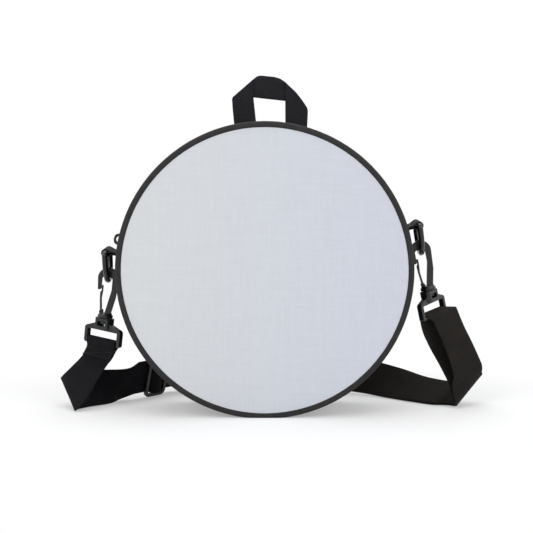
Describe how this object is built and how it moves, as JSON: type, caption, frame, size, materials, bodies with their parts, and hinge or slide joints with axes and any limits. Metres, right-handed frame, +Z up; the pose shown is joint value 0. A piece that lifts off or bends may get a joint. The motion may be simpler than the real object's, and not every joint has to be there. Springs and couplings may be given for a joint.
{
  "type": "round crossbody bag",
  "caption": "Round flat crossbody bag with bound edges, a zipped gusset, a top webbing handle and a shoulder strap with swivel snap hooks on D-rings.",
  "frame": {"origin": "on the floor under the middle of the bag, halfway through its depth, at the flat pressed into the bottom of the bindings", "axes": "+X to the right of the front face, +Y from the front to the back, +Z up"},
  "size_m": [0.4612, 0.1524, 0.3503],
  "materials": {
    "face_fabric": "pale woven cloth, matt",
    "padding": "soft open foam",
    "lining": "thin plain lining",
    "binding": "folded binding tape with a soft sheen",
    "gusset_fabric": "dense black cloth",
    "zip_tape": "fine woven tape",
    "zip_teeth": "moulded black plastic",
    "slider_metal": "black enamel",
    "webbing": "ribbed black webbing",
    "strap_webbing": "ribbed black webbing with a faint warm sheen",
    "ring_plastic": "polished black plastic",
    "hook_plastic": "polished black plastic"
  },
  "bodies": {
    "bag": {"front_panel_lower": "face_fabric", "front_padding_lower": "padding", "front_lining_lower": "lining", "front_binding_lower": "binding", "back_panel": "gusset_fabric", "back_padding": "padding", "back_lining": "lining", "back_binding": "binding", "gusset_lower": "gusset_fabric", "gusset_lining": "lining", "gusset_zip_back": "gusset_fabric", "zip_tape_back": "zip_tape", "zip_teeth_back": "zip_teeth", "zip_end_stops": "zip_teeth", "handle_anchors": "webbing", "left_tab": "webbing", "right_tab": "webbing", "strap_main": "strap_webbing", "strap_return": "strap_webbing"},
    "mouth_flap": {"front_panel_upper": "face_fabric", "front_padding_upper": "padding", "front_lining_upper": "lining", "front_binding_upper": "binding", "gusset_zip_front": "gusset_fabric", "zip_tape_front": "zip_tape", "zip_teeth_front": "zip_teeth"},
    "slider": {"zip_slider": "slider_metal"},
    "pull": {"zip_pull": "slider_metal"},
    "handle_body": {"handle": "webbing"},
    "left_ring": {"left_d_ring": "ring_plastic"},
    "right_ring": {"right_d_ring": "ring_plastic"},
    "left_swivel": {"left_swivel_frame": "hook_plastic", "left_strap_end": "strap_webbing"},
    "right_swivel": {"right_swivel_frame": "hook_plastic", "right_strap_loop": "strap_webbing"},
    "left_snap": {"left_hook": "hook_plastic"},
    "right_snap": {"right_hook": "hook_plastic"},
    "left_tongue": {"left_gate": "hook_plastic"},
    "right_tongue": {"right_gate": "hook_plastic"},
    "glide": {"tri_glide": "hook_plastic", "glide_strap_end": "strap_webbing"}
  },
  "joints": [
    {"name": "mouth_open", "type": "hinge", "parent": "bag", "child": "mouth_flap", "pos_m": [-0.00481, -0.0432, 0.19038], "axis": [0.9925, 0, 0.1219], "range_deg": [0, 50], "deforming": ["zip_tape_front", "zip_teeth_front"]},
    {"name": "zip_travel", "type": "hinge", "parent": "bag", "child": "slider", "pos_m": [0, 0, 0.1512], "axis": [0, 1, 0], "range_deg": [0, 140], "deforming": ["zip_teeth_back"]},
    {"name": "pull_swing", "type": "hinge", "parent": "slider", "child": "pull", "pos_m": [-0.15034, 0, 0.18042], "axis": [0, -1, 0], "range_deg": [0, 115]},
    {"name": "handle_fold", "type": "hinge", "parent": "bag", "child": "handle_body", "pos_m": [0.0052, 0.03575, 0.30525], "axis": [1, 0, 0], "range_deg": [-75, 70], "stiffness_Nm_per_rad": 0.02},
    {"name": "left_hook_swing", "type": "hinge", "parent": "bag", "child": "left_swivel", "pos_m": [-0.16525, 0, 0.16798], "axis": [0, 1, 0], "range_deg": [-3, 20], "stiffness_Nm_per_rad": 0.15, "deforming": ["strap_main"]},
    {"name": "left_ring_swing", "type": "hinge", "parent": "bag", "child": "left_ring", "pos_m": [-0.16525, 0, 0.16798], "axis": [0, 1, 0], "range_deg": [-3, 20]},
    {"name": "left_hook_turn", "type": "hinge", "parent": "left_swivel", "child": "left_snap", "pos_m": [-0.16839, 0, 0.09822], "axis": [0.1045, 0, 0.9945], "range_deg": [-10, 10]},
    {"name": "left_gate_open", "type": "hinge", "parent": "left_snap", "child": "left_tongue", "pos_m": [-0.17229, 0, 0.10507], "axis": [0, 1, 0], "range_deg": [0, 15], "stiffness_Nm_per_rad": 0.05, "springref_deg": -5.73},
    {"name": "right_hook_swing", "type": "hinge", "parent": "bag", "child": "right_swivel", "pos_m": [0.15982, 0, 0.19643], "axis": [0, -1, 0], "range_deg": [-2, 20], "stiffness_Nm_per_rad": 0.15, "deforming": ["strap_main", "strap_return"]},
    {"name": "right_ring_swing", "type": "hinge", "parent": "bag", "child": "right_ring", "pos_m": [0.15982, 0, 0.19643], "axis": [0, -1, 0], "range_deg": [-2, 20]},
    {"name": "right_hook_turn", "type": "hinge", "parent": "right_swivel", "child": "right_snap", "pos_m": [0.17206, 0, 0.12756], "axis": [-0.2079, 0, 0.9781], "range_deg": [-10, 10]},
    {"name": "right_gate_open", "type": "hinge", "parent": "right_snap", "child": "right_tongue", "pos_m": [0.16623, 0, 0.13286], "axis": [0, 1, 0], "range_deg": [0, 15], "stiffness_Nm_per_rad": 0.05, "springref_deg": -5.73},
    {"name": "strap_adjust", "type": "slide", "parent": "bag", "child": "glide", "axis": [0.6691, 0.7431, 0], "range_m": [-0.01, 0.01], "deforming": ["strap_main", "strap_return"]}
  ],
  "couplings": [
    {"joint": "zip_travel", "follows": "mouth_open", "ratio": 2.8},
    {"joint": "left_ring_swing", "follows": "left_hook_swing", "ratio": 1},
    {"joint": "right_ring_swing", "follows": "right_hook_swing", "ratio": 1}
  ]
}
